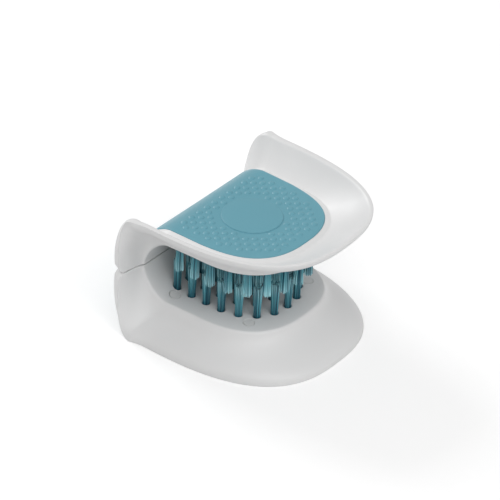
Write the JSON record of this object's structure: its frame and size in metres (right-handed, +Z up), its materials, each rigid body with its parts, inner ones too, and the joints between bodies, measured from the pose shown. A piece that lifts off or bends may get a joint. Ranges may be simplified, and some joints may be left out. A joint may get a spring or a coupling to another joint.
{
  "type": "palm brush",
  "caption": "C-shaped palm brush with two flared jaws, facing bristle tufts and a soft grip over its sprung spine, for both faces of a knife.",
  "frame": {"origin": "centre of the bounding box in plan, on the plane that the lower rim stands on", "axes": "+X from the spine to the nose, +Y along the way of the blade, +Z up"},
  "size_m": [0.082, 0.0884, 0.057],
  "materials": {
    "shell_plastic": "satin",
    "plate_plastic": "satin",
    "grip_rubber": "soft matte",
    "bristle": "satin",
    "anchor_metal": "drawn wire"
  },
  "bodies": {
    "lower_jaw": {"lower_shell": "shell_plastic", "lower_brush_plate": "plate_plastic", "lower_grip": "grip_rubber", "hinge_strip": "grip_rubber", "lower_anchors": "anchor_metal", "lower_outer_near_tufts": "bristle", "lower_outer_nose_tufts": "bristle", "lower_outer_far_tufts": "bristle", "lower_middle_near_tufts": "bristle", "lower_middle_nose_tufts": "bristle", "lower_middle_far_tufts": "bristle", "lower_inner_tufts": "bristle"},
    "upper_jaw": {"upper_shell": "shell_plastic", "upper_brush_plate": "plate_plastic", "upper_grip": "grip_rubber", "upper_anchors": "anchor_metal", "upper_outer_near_tufts": "bristle", "upper_outer_nose_tufts": "bristle", "upper_outer_far_tufts": "bristle", "upper_middle_near_tufts": "bristle", "upper_middle_nose_tufts": "bristle", "upper_middle_far_tufts": "bristle", "upper_inner_tufts": "bristle", "upper_centre_tufts": "bristle"}
  },
  "joints": [
    {"name": "spine_hinge", "type": "hinge", "parent": "lower_jaw", "child": "upper_jaw", "pos_m": [-0.0361, 0, 0.0285], "axis": [0, 1, 0], "range_deg": [-6, 4], "stiffness_Nm_per_rad": 1.5, "springref_deg": -0.59, "deforming": ["hinge_strip"]}
  ]
}
